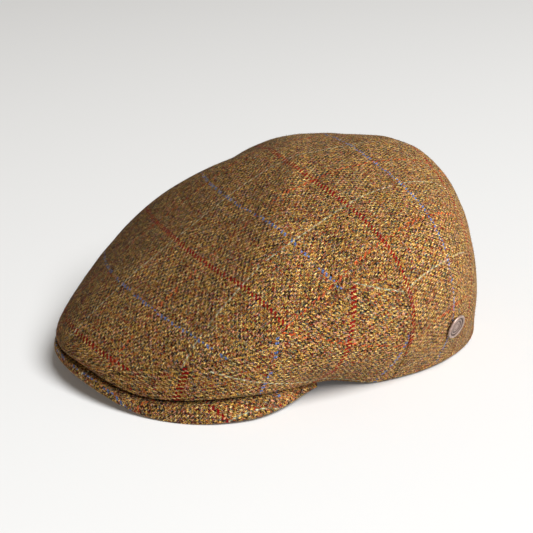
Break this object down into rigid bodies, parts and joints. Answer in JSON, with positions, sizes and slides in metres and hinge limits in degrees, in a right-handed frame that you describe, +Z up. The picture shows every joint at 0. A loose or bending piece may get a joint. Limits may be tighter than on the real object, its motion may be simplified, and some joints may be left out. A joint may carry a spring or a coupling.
{
  "type": "flat cap",
  "caption": "Tweed flat cap with a wrapped crown, an ear-shaped panel on each side, a short stiff peak and a round metal badge.",
  "frame": {"origin": "middle of the cap's footprint, on the surface that it rests on", "axes": "+Z up, -Y toward the peak, +X toward the wearer's left"},
  "size_m": [0.2112, 0.2404, 0.1077],
  "materials": {
    "tweed": "rough woven wool",
    "badge_metal": "aged, dull"
  },
  "bodies": {
    "root": {"top_panel": "tweed", "side_panel_left": "tweed", "side_panel_right": "tweed", "peak": "tweed", "badge": "badge_metal"}
  },
  "joints": []
}
